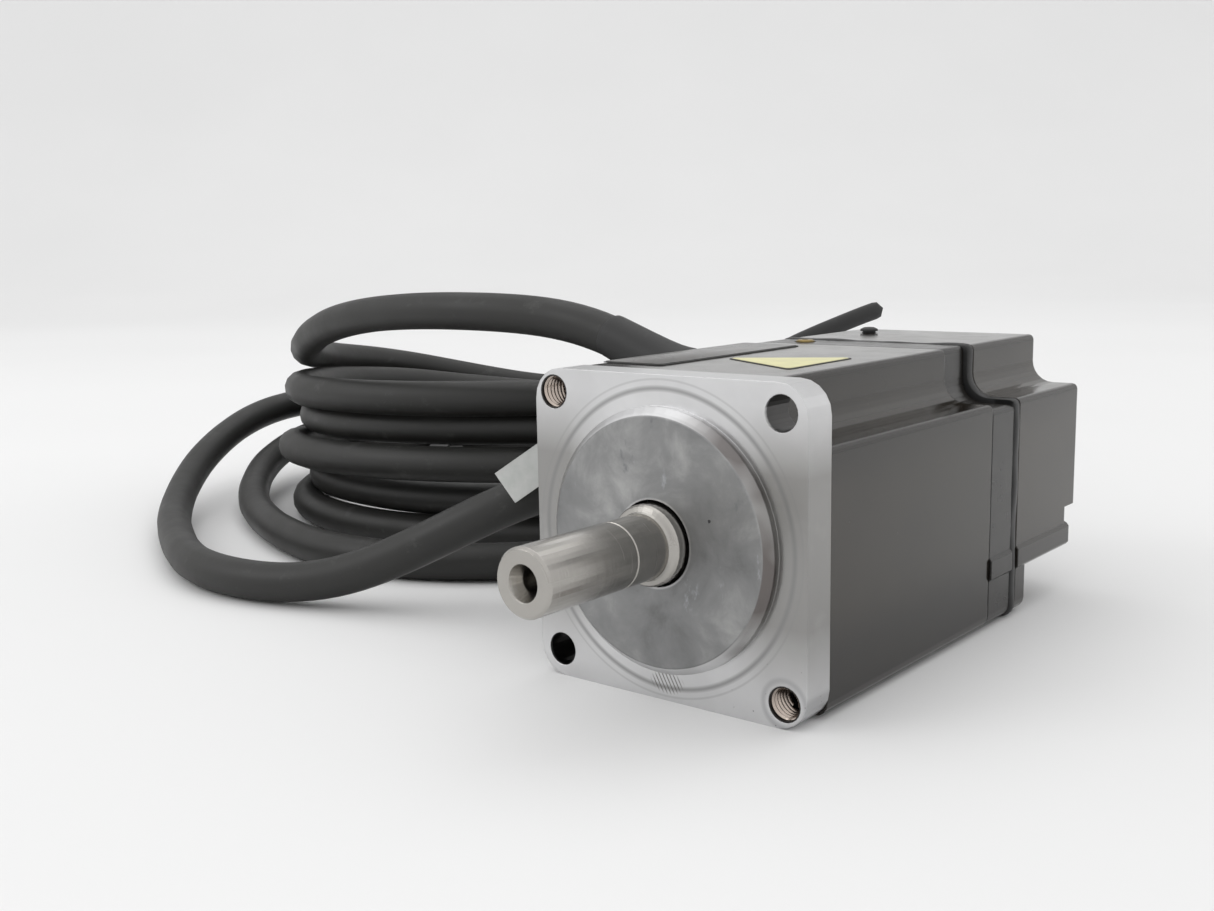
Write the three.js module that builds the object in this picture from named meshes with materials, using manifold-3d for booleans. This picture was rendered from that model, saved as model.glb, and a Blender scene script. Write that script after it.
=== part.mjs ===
// Compact brushless AC servo motor, 60 mm square flange, with rear encoder and
// two flying cables wound into a coil beside it.
// Millimetres, +Z up. The shaft axis runs along Y and the shaft points to -Y.
// The model is drawn with y = 0 on the mounting face of the flange and z = 0 on
// the shaft axis, then moved so that the origin is under the middle of the motor.
import * as THREE from 'three';
import { mergeVertices } from 'three/addons/utils/BufferGeometryUtils.js';
import Module from 'manifold-3d';

const wasm = await Module();
wasm.setup();

// ---------------------------------------------------------------- dimensions
const FLANGE = 60;            // square mounting flange
const FLANGE_T = 7.5;         // flange thickness
const FLANGE_R = 6;           // flange corner radius
const PILOT_R = 24.4;         // centring pilot
const PILOT_EDGE_R = 22.8;    // face of the pilot inside its chamfer
const PILOT_H = 3;            // pilot height
const HOLE_H = 24.75;         // clearance holes: half pitch (bolt circle 70)
const HOLE_R = 3.25;          // clearance hole radius
const TAP_H = 25.5;           // threaded holes: half pitch
const TAP_R = 3.25;           // bore for the threaded insert
const BODY = 29.4;            // half width of the motor body
const NOTCH_W = 10.9;         // corner notch width
const NOTCH_D = 11.1;         // corner notch depth
const NOTCH_R = 5;            // fillet inside the notch
const HOUSING_Y0 = 7.8;       // stator housing front end
const HOUSING_Y1 = 74.6;      // stator housing rear end
const BORE_R = 26.2;          // housing bore
const BRACKET_Y0 = 74.9;      // rear bracket
const BRACKET_Y1 = 85.6;
const GASKET_Y0 = 85.9;       // cover gasket
const GASKET_Y1 = 88.6;
const COVER_Y0 = 88.9;        // encoder cover
const COVER_FLANGE_Y1 = 94;
const COVER_Y1 = 122.4;
const COVER_STEP_Y = 117;     // lower part of the cover stops here
const COVER_LOW_Z = -19.3;    // underside of the cover body
const WALL = 2.4;             // cover wall
const SHAFT_R = 6;            // output shaft
const SHAFT_TIP = -37.3;      // shaft end
const JOURNAL_R = 7.45;       // front bearing journal
const GAP = 0.3;              // clearance between neighbouring solids
const POWER_R = 4.75;         // power cable radius
const ENCODER_R = 4.75;       // encoder cable radius
const COIL_C = [-146, 137];   // centre of the cable coil
const COIL_R0 = 70;           // coil inner radius
const COIL_R1 = 90;           // coil outer radius
const FLOOR = -30;            // plane that the motor and cables lie on
const ORIGIN_Y = (COVER_Y1 + SHAFT_TIP) / 2;

// ------------------------------------------------------------------- helpers
function bare(g) {
  const c = g.index ? g.clone() : g.clone();
  for (const k of Object.keys(c.attributes)) if (k !== 'position') c.deleteAttribute(k);
  c.clearGroups();
  return mergeVertices(c, 1e-4);
}
function volume(g) {
  const p = g.attributes.position, ix = g.index.array;
  const a = new THREE.Vector3(), b = new THREE.Vector3(), c = new THREE.Vector3();
  let v = 0;
  for (let i = 0; i < ix.length; i += 3) {
    a.fromBufferAttribute(p, ix[i]); b.fromBufferAttribute(p, ix[i + 1]); c.fromBufferAttribute(p, ix[i + 2]);
    v += a.dot(b.cross(c)) / 6;
  }
  return v;
}
function outward(g0) {
  const g = bare(g0);
  const out = [];
  const ix = g.index.array;
  for (let i = 0; i < ix.length; i += 3) {
    const [a, b, c] = [ix[i], ix[i + 1], ix[i + 2]];
    if (a !== b && b !== c && a !== c) out.push(a, b, c);
  }
  g.setIndex(out);
  if (volume(g) < 0) {
    for (let i = 0; i < out.length; i += 3) [out[i + 1], out[i + 2]] = [out[i + 2], out[i + 1]];
    g.setIndex(out);
  }
  return g;
}
function solid(g) {
  const c = outward(g);
  return new wasm.Manifold(new wasm.Mesh({
    numProp: 3,
    vertProperties: new Float32Array(c.attributes.position.array),
    triVerts: new Uint32Array(c.index.array),
  }));
}
function surface(m) {
  const k = m.getMesh();
  const g = new THREE.BufferGeometry();
  g.setAttribute('position', new THREE.BufferAttribute(new Float32Array(k.vertProperties), 3));
  g.setIndex(new THREE.BufferAttribute(new Uint32Array(k.triVerts), 1));
  return g;
}
const cut = (a, ...bs) => bs.reduce((m, b) => m.subtract(solid(b)), a.getMesh ? a : solid(a));
const join = (a, ...bs) => bs.reduce((m, b) => m.add(solid(b)), a.getMesh ? a : solid(a));

// a polygon's points, with arcs given by [cx, cy, r, from, to, steps]
function outline(list) {
  const pts = [];
  for (const e of list) {
    if (e.length === 2) pts.push(new THREE.Vector2(e[0], e[1]));
    else {
      const [cx, cy, r, a0, a1, n] = e;
      for (let i = 0; i <= n; i++) {
        const t = THREE.MathUtils.degToRad(a0 + ((a1 - a0) * i) / n);
        pts.push(new THREE.Vector2(cx + r * Math.cos(t), cy + r * Math.sin(t)));
      }
    }
  }
  return pts;
}
const shape = (pts) => new THREE.Shape(pts);
function alongY(pts, y0, y1) { // outline in x, z
  const g = new THREE.ExtrudeGeometry(shape(pts), { depth: y1 - y0, bevelEnabled: false });
  g.rotateX(Math.PI / 2);
  g.translate(0, y1, 0);
  return g;
}
function alongX(pts, x0, x1) { // outline in y, z
  const g = new THREE.ExtrudeGeometry(shape(pts), { depth: x1 - x0, bevelEnabled: false });
  const m = new THREE.Matrix4().makeBasis(new THREE.Vector3(0, 1, 0), new THREE.Vector3(0, 0, 1), new THREE.Vector3(1, 0, 0));
  g.applyMatrix4(m);
  g.translate(x0, 0, 0);
  return g;
}
function alongZ(pts, z0, z1) { // outline in x, y
  const g = new THREE.ExtrudeGeometry(shape(pts), { depth: z1 - z0, bevelEnabled: false });
  g.translate(0, 0, z0);
  return g;
}
function roundRect(w, h, r, cx = 0, cy = 0, n = 5) {
  const a = w / 2 - r, b = h / 2 - r;
  return outline([
    [cx + a, cy - b, r, -90, 0, n], [cx + a, cy + b, r, 0, 90, n],
    [cx - a, cy + b, r, 90, 180, n], [cx - a, cy - b, r, 180, 270, n],
  ]);
}
function circle(r, n = 24, cx = 0, cy = 0) {
  const pts = [];
  for (let i = 0; i < n; i++) {
    const t = (2 * Math.PI * i) / n;
    pts.push(new THREE.Vector2(cx + r * Math.cos(t), cy + r * Math.sin(t)));
  }
  return pts;
}
// revolve [radius, y] pairs about the shaft axis
function turned(profile, n = 32) {
  return new THREE.LatheGeometry(profile.map(([r, y]) => new THREE.Vector2(r, y)), n);
}
function ring(r0, r1, y0, y1, n = 32, c = 0) {
  return turned([
    [r0, y0], [r1 - c, y0], [r1, y0 + c], [r1, y1 - c], [r1 - c, y1], [r0, y1], [r0, y0],
  ].filter((p, i, a) => i === 0 || p[0] !== a[i - 1][0] || p[1] !== a[i - 1][1]), n);
}
function rodY(r, y0, y1, n = 20, x = 0, z = 0) {
  const g = new THREE.CylinderGeometry(r, r, y1 - y0, n);
  g.translate(x, (y0 + y1) / 2, z);
  return g;
}
function rodX(r, x0, x1, n = 20, y = 0, z = 0) {
  const g = new THREE.CylinderGeometry(r, r, x1 - x0, n);
  g.rotateZ(Math.PI / 2);
  g.translate((x0 + x1) / 2, y, z);
  return g;
}
function rodZ(r, z0, z1, n = 20, x = 0, y = 0) {
  const g = new THREE.CylinderGeometry(r, r, z1 - z0, n);
  g.rotateX(Math.PI / 2);
  g.translate(x, y, (z0 + z1) / 2);
  return g;
}
function block(x0, x1, y0, y1, z0, z1) {
  const g = new THREE.BoxGeometry(x1 - x0, y1 - y0, z1 - z0);
  g.translate((x0 + x1) / 2, (y0 + y1) / 2, (z0 + z1) / 2);
  return g;
}

const model = new THREE.Group();
const motor = new THREE.Group();
motor.position.set(0, -ORIGIN_Y, -FLOOR);
model.add(motor);
const LOOK = {
  cast: [0xc4c6c6, 0.45, 0.85], steel: [0xb9b6b0, 0.3, 1], paint: [0x2c2824, 0.32, 0.2],
  rubber: [0x202020, 0.8, 0], cable: [0x343432, 0.65, 0], brass: [0xb79b58, 0.4, 0.9],
  plate: [0x3a3836, 0.35, 0.3], yellow: [0xe8df8a, 0.5, 0], copper: [0xb06a3a, 0.4, 0.8],
  lamination: [0x7b7f84, 0.5, 0.8], magnet: [0x55585c, 0.4, 0.8], board: [0x1f5a36, 0.5, 0],
  plastic: [0x26282a, 0.5, 0], clear: [0xd8dcdc, 0.2, 0], card: [0xf0f0ec, 0.7, 0], glass: [0x9fb0b4, 0.1, 0],
};
function add(name, what, look, group = motor) {
  const g = what.getMesh ? surface(what) : outward(what);
  g.computeVertexNormals();
  const [color, roughness, metalness] = LOOK[look];
  const m = new THREE.Mesh(g, new THREE.MeshStandardMaterial({ color, roughness, metalness }));
  m.name = name;
  group.add(m);
  return m;
}

// body section: square with the upper right and lower left corners notched
// for the through bolts; the other two corners are rounded
function section(b, extra = 0, er = 1.2, n = 4) {
  const w = NOTCH_W + extra, d = NOTCH_D + extra, r = NOTCH_R;
  return outline([
    [b - 2.6, -b + 2.6, 2.6, -90, 0, n],                 // lower right corner
    [b - er, b - d - er, er, 0, 90, 3],
    [b - w + r, b - d + r, r, 270, 180, n + 2],          // notch fillet
    [b - w - er, b - er, er, 0, 90, 3],
    [-b + 2.6, b - 2.6, 2.6, 90, 180, n],                // upper left corner
    [-b + er, -b + d + er, er, 180, 270, 3],
    [-b + w - r, -b + d - r, r, 90, 0, n + 2],           // lower left notch
    [-b + w + er, -b + er, er, 180, 270, 3],
  ]);
}

// ------------------------------------------------------------- front bracket
{
  let m = solid(alongY(roundRect(FLANGE, FLANGE, FLANGE_R), 0, FLANGE_T));
  m = join(m,
    turned([[0, -PILOT_H], [PILOT_EDGE_R, -PILOT_H], [PILOT_EDGE_R + 0.6, -PILOT_H + 0.5], [PILOT_R, -1.4], [PILOT_R, 0.5], [0, 0.5]], 64),
    turned([[0, FLANGE_T - 0.5], [25.9, FLANGE_T - 0.5], [25.9, 10.5], [21, 10.5], [21, 18.6], [0, 18.6]], 48));
  m = cut(m,
    turned([[0, -4], [7.95, -4], [7.95, 1], [12.3, 1], [12.3, 6.6], [17.8, 6.6], [17.8, 19.5], [0, 19.5]], 40),
    rodY(HOLE_R, -1, 12, 24, HOLE_H, HOLE_H), rodY(HOLE_R, -1, 12, 24, -HOLE_H, -HOLE_H),
    rodY(TAP_R, -1, FLANGE_T + 0.2, 24, -TAP_H, TAP_H), rodY(TAP_R, -1, FLANGE_T + 0.2, 24, TAP_H, -TAP_H));
  add('front_bracket', m, 'cast');
}
for (const [i, s] of [[1, -1], [2, 1]]) {
  const g = ring(2.5, 2.95, 0.2, FLANGE_T - 0.1, 20);
  g.translate(s * TAP_H, 0, -s * TAP_H);
  add(`thread_insert_${i}`, g, 'steel');
}
add('oil_seal', turned([[7.8, 1.4], [11.95, 1.4], [11.95, 6.2], [9.2, 6.2], [9.2, 3], [7.8, 2.4], [7.8, 1.4]], 32), 'rubber');

// ------------------------------------------------------------ ball bearings
function bearing(name, r0, r1, y0, y1, balls, br) {
  const pr = (r0 + r1) / 2, ym = (y0 + y1) / 2;
  const land = (r1 - r0) * 0.2;
  const groove = [];
  add(`${name}_inner_ring`, turned([[r0, y0], [r0 + land, y0], [r0 + land, ym - br * 0.6], [pr - br - GAP, ym - br * 0.35], [pr - br - GAP, ym + br * 0.35], [r0 + land, ym + br * 0.6], [r0 + land, y1], [r0, y1], [r0, y0]], 32), 'steel');
  add(`${name}_outer_ring`, turned([[r1, y0], [r1, y1], [r1 - land, y1], [r1 - land, ym + br * 0.6], [pr + br + GAP, ym + br * 0.35], [pr + br + GAP, ym - br * 0.35], [r1 - land, ym - br * 0.6], [r1 - land, y0], [r1, y0]], 32), 'steel');
  let m = solid(ring(pr - 0.5, pr + 0.5, ym - 1.1, ym + 1.1, 32));
  for (let i = 0; i < balls; i++) {
    const t = (2 * Math.PI * i) / balls;
    const b = new THREE.SphereGeometry(br, 10, 7);
    b.translate(pr * Math.cos(t), ym, pr * Math.sin(t));
    m = join(m, b);
  }
  add(`${name}_ball_cage`, m, 'steel');
}
bearing('front_bearing', JOURNAL_R + GAP, 17.5, 7, 18, 8, 2.6);
bearing('rear_bearing', 6 + GAP, 14, 74.2, 82.2, 7, 2.1);
add('wave_washer', ring(9.5, 13.8, 82.5, 83.1, 28), 'steel');

// ------------------------------------------------------------------- rotor
{
  let m = solid(turned([
    [0, SHAFT_TIP], [5.55, SHAFT_TIP], [SHAFT_R, SHAFT_TIP + 0.5], [SHAFT_R, -15.2], [SHAFT_R - 0.15, -15.1], [SHAFT_R - 0.15, -14.8], [SHAFT_R, -14.7],
    [SHAFT_R, -6.4], [6.3, -6.0], [7.1, -5.7], [JOURNAL_R, -5.2], [JOURNAL_R, 18.2], [8.6, 18.4], [8.6, 28.6], [8, 28.8], [8, 70], [SHAFT_R, 70.3], [SHAFT_R, 84], [4, 84.5], [4, 97.5], [0, 97.5],
  ], 40));
  m = cut(m, turned([[0, SHAFT_TIP - 1], [3.7, SHAFT_TIP - 0.5], [3.15, SHAFT_TIP + 0.1], [2.1, SHAFT_TIP + 2.4], [2.1, SHAFT_TIP + 12], [0, SHAFT_TIP + 13.2]], 24));
  add('rotor_shaft', m, 'steel');
}
add('rotor_core', ring(8 + GAP, 12.4, 29, 64, 32), 'lamination');
add('rotor_magnet_ring', ring(12.7, 14.9, 29.4, 63.6, 32), 'magnet');
add('magnet_sleeve', ring(15.2, 15.7, 29.2, 63.8, 32), 'steel');
add('balance_ring', ring(8 + GAP, 12, 64.4, 67.4, 28), 'brass');

// ------------------------------------------------------------------- stator
{
  const teeth = 12, slotR = 23.2;
  let m = solid(ring(16.5, 25.9, 30, 63, 48));
  for (let i = 0; i < teeth; i++) {
    const t = (2 * Math.PI * (i + 0.5)) / teeth;
    // slot between two teeth: a wedge with a narrow mouth at the air gap
    const half = 2.1, half2 = 3.9, mouth = 0.9;
    const p = outline([[16, -mouth], [17.6, -mouth], [17.9, -half], [slotR, -half2], [slotR, half2], [17.9, half], [17.6, mouth], [16, mouth]]);
    const g = alongY(p, 29, 64);
    g.rotateY(-t);
    m = cut(m, g);
  }
  add('stator_core', m, 'lamination');
}
add('front_end_winding', turned([[18.2, 21.5], [23, 21.5], [24.6, 23], [24.6, 29.7], [17.6, 29.7], [17.2, 23], [18.2, 21.5]], 32), 'copper');
add('rear_end_winding', turned([[17.6, 63.3], [24.6, 63.3], [24.6, 69.4], [23, 70.8], [18.2, 70.8], [17.2, 69.4], [17.6, 63.3]], 32), 'copper');
const SCREWS = [[-20.5, 25.3], [-25.3, 20.5], [20.5, -25.3], [25.3, -20.5]];
{
  let m = solid(alongY(section(BODY), HOUSING_Y0, HOUSING_Y1));
  m = cut(m, rodY(BORE_R, 0, 90, 64), ...SCREWS.map(([x, z]) => rodY(1.8, 64, 80, 12, x, z)));
  m = cut(m, rodX(2.2, -31, -24, 14, 52, 20));
  add('stator_housing', m, 'paint');
}

// ------------------------------------------------------------- rear bracket
const COVER_SCREWS = [[-13.5, 25], [12.5, 24.6], [-13, -24.8], [10, -24.8]];
const RIB_X = 29.95;
function rib(y0, y1, x0 = 28.6) { // rounded rib low on the right side
  const g = alongY(outline([[x0, -19.3], [RIB_X - 0.5, -19.3], [RIB_X, -18.7], [RIB_X, -14.9], [RIB_X - 0.5, -14.2], [x0, -13.8]]), y0, y1);
  return g;
}
{
  let m = solid(alongY(section(BODY, 1.0), BRACKET_Y0, BRACKET_Y1));
  m = join(m, turned([[0, 72.4], [25.9, 72.4], [25.9, 75.2], [0, 75.2]], 48), rib(BRACKET_Y0, BRACKET_Y1));
  m = cut(m,
    turned([[0, 71], [20, 71], [20, 73.7], [14.3, 73.7], [14.3, 83.4], [8.5, 83.4], [8.5, 87], [0, 87]], 40),
    ...SCREWS.flatMap(([x, z]) => [rodY(1.8, 70, 87, 12, x, z), rodY(3.1, 82.6, 87, 16, x, z)]),
    ...COVER_SCREWS.map(([x, z]) => rodY(1.75, 77, 87, 12, x, z)),
    rodZ(2.5, 27.6, 31, 18, -18.9, 80.4));
  add('rear_bracket', m, 'paint');
}
SCREWS.forEach(([x, z], i) => {
  const g = turned([[0, 66], [1.5, 66], [1.5, 82.9], [2.75, 82.9], [2.75, 85.1], [1.4, 85.1], [1.4, 84.1], [0, 84.1]], 14);
  g.translate(x, 0, z);
  add(`bracket_screw_${i + 1}`, g, 'steel');
});
{
  const g = new THREE.LatheGeometry([[0, 27.9], [2.2, 27.9], [2.2, 29.6], [1.7, 29.9], [0.8, 29.9], [0.8, 29.3], [0, 29.3]].map(([r, z]) => new THREE.Vector2(r, z)), 18);
  g.rotateX(Math.PI / 2);
  g.translate(-18.9, 80.4, 0);
  add('grease_plug', g, 'brass');
}

// ------------------------------------------------- gasket and encoder cover
{
  let m = solid(alongY(section(BODY - 0.35, 0.6), GASKET_Y0, GASKET_Y1));
  m = cut(m, alongY(section(BODY - 3.6, -0.4), GASKET_Y0 - 1, GASKET_Y1 + 1),
    ...SCREWS.map(([x, z]) => rodY(1.6, 80, 90, 12, x, z)), ...COVER_SCREWS.map(([x, z]) => rodY(1.75, 77, 92, 12, x, z)));
  add('cover_gasket', m, 'rubber');
}
{
  const low = (b, zb) => { // cover section with its underside raised
    const r = NOTCH_R, w = NOTCH_W, d = NOTCH_D, er = 1.2;
    return outline([
      [b - 2, zb + 2, 2, -90, 0, 4], [b - er, BODY - d - er - (BODY - b), er, 0, 90, 3],
      [b - w + r, b - d + r, r, 270, 180, 6], [b - w - er, b - er, er, 0, 90, 3],
      [-b + 2.6, b - 2.6, 2.6, 90, 180, 4], [-b + 2, zb + 2, 2, 180, 270, 4],
    ]);
  };
  let m = solid(alongY(section(BODY), COVER_Y0, COVER_FLANGE_Y1));
  m = m.add(cut(solid(alongY(low(BODY, COVER_LOW_Z), COVER_FLANGE_Y1 - 1, COVER_Y1)), block(-40, 40, COVER_STEP_Y, 130, -30, -10.2)));
  m = join(m, rib(COVER_Y0, 118.6),
    alongY(outline([[-20, -29.2], [26.2, -29.2], [25, -30], [-17.5, -30]]), COVER_Y0, COVER_FLANGE_Y1));
  // hollow
  m = m.subtract(cut(solid(alongY(low(BODY - WALL, COVER_LOW_Z + WALL), COVER_Y0 - 1, COVER_Y1 - WALL)), block(-40, 40, COVER_STEP_Y - WALL, 130, -30, -10.2 + WALL)));
  // posts for the two upper screws
  for (const [x, z] of COVER_SCREWS.slice(0, 2)) m = join(m, rodY(3.4, COVER_Y0 + 0.5, COVER_Y1 - 1, 16, x, z));
  m = cut(m,
    ...COVER_SCREWS.slice(0, 2).flatMap(([x, z]) => [rodY(1.8, 80, 130, 12, x, z), rodY(3.1, COVER_Y1 - 2.2, 130, 16, x, z)]),
    ...COVER_SCREWS.slice(2).map(([x, z]) => rodY(1.8, 80, 100, 12, x, z)),
    rodX(4.2, -31, -25, 16, 104.5, 3), rodZ(1.9, 28, 32, 14, -19.5, 112));
  add('encoder_cover', m, 'paint');
}
COVER_SCREWS.forEach(([x, z], i) => {
  const y = i < 2 ? COVER_Y1 - 2 : COVER_FLANGE_Y1 + GAP;
  const g = turned([[0, 78.5], [1.45, 78.5], [1.45, y], [2.75, y], [2.75, y + 1.6], [2.2, y + 2.1], [1.3, y + 2.1], [1.3, y + 1.1], [0, y + 1.1]], 14);
  g.translate(x, 0, z);
  add(`cover_screw_${i + 1}`, g, 'steel');
});
{
  const g = new THREE.LatheGeometry([[0, 28.2], [1.6, 28.2], [1.6, 29.8], [2.2, 29.8], [2.1, 30.3], [1.2, 30.7], [0, 30.8]].map(([r, z]) => new THREE.Vector2(r, z)), 16);
  g.rotateX(Math.PI / 2);
  g.translate(-19.5, 112, 0);
  add('cover_vent_plug', g, 'rubber');
}

// ------------------------------------------------------------------- encoder
add('encoder_hub', ring(4 + GAP, 8, 87.5, 93.6, 28), 'steel');
add('encoder_disc', ring(4 + GAP, 11.5, 94, 94.8, 48), 'glass');
add('encoder_board', cut(solid(alongY(circle(19, 40, 0, 3.5), 100.2, 101.8)), rodY(5, 99, 103, 20)), 'board');
add('encoder_reader', block(-5, 5, 95.4, 99.9, 6, 14), 'plastic');
add('board_connector', block(-16, -6, 102.1, 106, -3, 3), 'card');
for (const [i, x, z] of [[1, -14.5, 11.6], [2, 14.5, 11.6], [3, 0, -13.9]]) {
  const g = rodY(1.9, BRACKET_Y1 + GAP, 99.9, 12, x, z);
  add(`board_standoff_${i}`, g, 'brass');
}

// ---------------------------------------------------- nameplate and label
add('nameplate', alongZ(outline([[-28.2, 17.7], [-13.4, 17.7], [-13.4, 69], [-28.2, 69]]), BODY + 0.15, BODY + 0.35), 'plate');
add('caution_label', alongZ(outline([[11.9, 23.1], [-10.8, 36.4], [11.4, 48.6]]), BODY + 0.15, BODY + 0.3), 'yellow');


// ------------------------------------------------- cable outlets on the motor
const V = (x, y, z) => new THREE.Vector3(x, y, z);
function lofted(profile, from, dir, n = 20) { // revolve [radius, distance] about a line
  const g = new THREE.LatheGeometry(profile.map(([r, s]) => new THREE.Vector2(r, s)), n);
  g.applyQuaternion(new THREE.Quaternion().setFromUnitVectors(V(0, 1, 0), V(...dir).normalize()));
  g.translate(...from);
  return g;
}
// power cable: boot on the left side of the housing, leaning up by 22 degrees
const P_DIR = [-Math.cos(22 * Math.PI / 180), 0, Math.sin(22 * Math.PI / 180)];
const P_FROM = [-29.4, 52, 22];
add('power_gland_plate', cut(alongX(roundRect(20, 15, 3, 52, 21.6), -31.6, -29.7),
  lofted([[0, -6], [7.4, -6], [7.4, 12], [0, 12]], P_FROM, P_DIR)), 'rubber');
add('power_strain_relief', cut(
  lofted([[POWER_R + GAP, -4], [6.7, -4], [6.7, 4.6], [6.1, 5.4], [6.0, 8.6], [5.75, 9], [5.75, 11], [5.95, 11.4], [5.9, 14], [5.65, 14.4], [5.65, 16.4], [5.8, 16.8], [5.7, 19.6], [5.45, 20.4], [5.35, 23.6], [5.25, 24], [POWER_R + GAP, 24], [POWER_R + GAP, -4]], P_FROM, P_DIR, 28),
  block(-29.7, 0, 0, 100, 0, 60)), 'rubber');
// encoder cable: block on the left side of the cover, its boot points forward
const E_X = -37.8, E_Z = 3, E_Y = 96.7;
add('encoder_gland_block', cut(alongX(roundRect(15.4, 17, 2.5, 104.4, 3), -45.2, -29.7),
  rodX(3.6, -38, -25, 16, 104.5, 3), rodY(5.1, 90, 104.5, 20, E_X, E_Z)), 'plastic');
add('encoder_strain_relief', lofted([[ENCODER_R + GAP, GAP], [7.6, GAP], [7.6, 3], [6.9, 4], [6.9, 6.5], [6.4, 7], [6.4, 9], [6.8, 9.5], [6.8, 12], [6.1, 12.6], [6.1, 14.6], [6.5, 15], [6.5, 17.6], [5.8, 18.4], [5.7, 26], [ENCODER_R + GAP, 26], [ENCODER_R + GAP, GAP]], [E_X, E_Y, E_Z], [0, -1, 0], 24), 'rubber');

// -------------------------------------------------------------------- cables
function tube(points, r, steps, sides = 10) {
  const path = new THREE.CatmullRomCurve3(points.map((p) => V(...p)), false, 'centripetal');
  return new THREE.ExtrudeGeometry(shape(circle(r, sides)), { steps, extrudePath: path, bevelEnabled: false });
}
const POWER_LEAD = [
  [-51.95, 52, 31.1], [-63, 51.6, 34.4], [-76, 50.5, 35.9], [-92, 49, 36.5], [-110, 48.3, 36.5], [-128, 49.6, 35.5],
  [-147, 53, 33.3], [-165, 58.5, 30], [-182, 66.8, 26], [-198, 77.5, 22.6], [-212.5, 90, 20], [-224, 104, 18.2], [-232, 120, 15.8], [-235, 137, 12.6]];
const ENCODER_LEAD = [
  [-37.8, 70.4, 3], [-38.3, 60, 3], [-41.5, 49, 2.6], [-48, 38.5, 1.2], [-56, 29.5, -1.5], [-65, 22, -6], [-75.5, 16, -12],
  [-87, 10.5, -18], [-99, 5, -22.8], [-112, 0, -24.8], [-127, -3, -25.1], [-143, -1.5, -25.1], [-159, 4.5, -25.1], [-176, 13.5, -25.1],
  [-193, 23.5, -24.8], [-209, 35, -23.2], [-224, 48.5, -20], [-237, 64, -15], [-246, 82, -9], [-252, 101, -5], [-254, 121, -3.5],
  [-251, 141, -4], [-244.5, 159.5, -6.2], [-234.5, 176.5, -10]];
const ENCODER_LOOP = [
  [-63, 184.6, -25.1], [-54.5, 167, -25.1], [-50.5, 148, -25.1], [-49.5, 128, -25.1], [-51.5, 109, -25.1], [-57, 90, -25.1], [-67, 69, -25.1], [-80.5, 50.5, -25.1], [-96, 38, -25.1], [-114, 31, -25.1], [-134, 29.5, -25.1],
  [-155, 34.5, -25.1], [-177, 43.5, -25.1], [-199, 55.5, -24.4], [-218, 70.5, -22], [-234, 89, -18.5], [-244, 110, -15.2], [-248, 133, -13.5]];
const POWER_END = [
  [-201.9, 169.3, -11], [-185.9, 184.5, -13.5], [-164.4, 193.6, -17], [-142, 192.9, -20], [-123.6, 182.8, -22], [-111.8, 167.8, -22.4], [-107.5, 151, -22.4], [-108.2, 142.3, -22.4]];
const ENCODER_END = [
  [-103, 89, -20], [-115, 81, -22], [-129, 77.5, -24], [-143, 79.5, -25.1], [-155, 86.5, -25.1], [-163.5, 96.5, -25.1]];
add('power_cable', tube(POWER_LEAD, POWER_R, 12), 'cable');
add('encoder_cable', tube(ENCODER_LEAD, ENCODER_R, 20), 'cable');
add('encoder_cable_loop', tube(ENCODER_LOOP, ENCODER_R, 16), 'cable');
add('power_cable_end', tube(POWER_END, POWER_R, 8), 'cable');
add('encoder_cable_end', tube(ENCODER_END, ENCODER_R, 6), 'cable');

// coil: encoder cable turns below, power cable turns above, sloping to the rear
function coil(z0, z1) {
  const g = new THREE.LatheGeometry([[COIL_R0, z0], [COIL_R1, z0], [COIL_R1, z1], [COIL_R0, z1], [COIL_R0, z0]].map(([r, z]) => new THREE.Vector2(r, z)), 48);
  g.rotateX(Math.PI / 2);
  g.translate(COIL_C[0], COIL_C[1], 0);
  return g;
}
const FRONT = -50.6 * Math.PI / 180; // bearing of the high side of the coil
const TIE = 72 * Math.PI / 180;      // bearing of the strap
function place(g, bearing, x = COIL_C[0], y = COIL_C[1]) {
  g.rotateZ(bearing);
  g.translate(x, y, 0);
  return g;
}
{
  const top = block(-120, 120, -120, 120, 0, 60);
  top.rotateY(-Math.atan2(8.7, 85));
  top.translate(0, 0, 8.7);
  place(top, FRONT);
  add('power_cable_coil', cut(coil(-10.8, 30), top), 'cable');
  add('encoder_cable_coil', cut(coil(-29.9, -11.1), place(block(60, 100, -5, 5, -31, -28.4), TIE)), 'cable');
  // strap round the bundle, with its loose end standing off to the rear right
  let m = solid(place(block(68.6, 91.4, -3.4, 3.4, -29.9, 6.6), TIE));
  m = cut(m, place(block(69.6, 90.4, -4, 4, -28.7, 5.6), TIE));
  m = join(m, place(block(80, 89, -4.2, 4.2, 6, 8.6), TIE));
  // loose end: a thick flat tongue with a round tip
  const tongue = new THREE.ExtrudeGeometry(shape(outline([[0, -3.2], [0, 3.2], [39, 3.2, ], [41.6, 2.2], [42.6, 0], [41.6, -2.2], [39, -3.2]])), { depth: 2.6, bevelEnabled: false });
  tongue.rotateX(Math.PI / 2);
  tongue.translate(-20, 1.3, 0);
  tongue.rotateY(-21 * Math.PI / 180);
  tongue.rotateZ(42.5 * Math.PI / 180);
  tongue.translate(-107.5, 241.1, 18.4);
  m = join(m, tongue);
  const neck = new THREE.BoxGeometry(17, 2.6, 6);
  neck.rotateY(-8 * Math.PI / 180);
  neck.rotateZ(92 * Math.PI / 180);
  neck.translate(-121, 222.6, 10.6);
  m = join(m, neck);
  add('coil_strap', m, 'rubber');
}

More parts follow.
